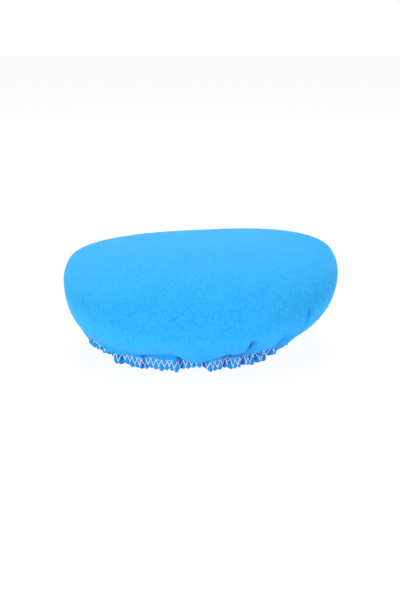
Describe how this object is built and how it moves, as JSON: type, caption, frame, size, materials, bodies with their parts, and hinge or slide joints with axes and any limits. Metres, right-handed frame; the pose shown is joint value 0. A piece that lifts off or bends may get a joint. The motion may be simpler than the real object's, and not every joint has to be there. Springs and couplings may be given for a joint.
{
  "type": "slip-on foam filter cap",
  "caption": "Soft fine-pored foam filter cap, open underneath, with a gathered elastic hem overlocked in white thread, slipped over a filter cage.",
  "frame": {"origin": "centre of the mouth, in the plane of the elastic's lower edge", "axes": "+Z from the mouth to the crown, -Y to the front, +X to the side that the crown leans to"},
  "size_m": [0.1735, 0.174, 0.0675],
  "materials": {
    "foam": "matt fine-pored polyurethane foam",
    "elastic": "woven white elastic",
    "thread": "spun white polyester thread"
  },
  "bodies": {
    "root": {"foam_cap": "foam", "elastic_band": "elastic", "elastic_bar_tack": "thread", "needle_thread": "thread", "upper_looper_thread": "thread", "lower_looper_thread": "thread"}
  },
  "joints": []
}
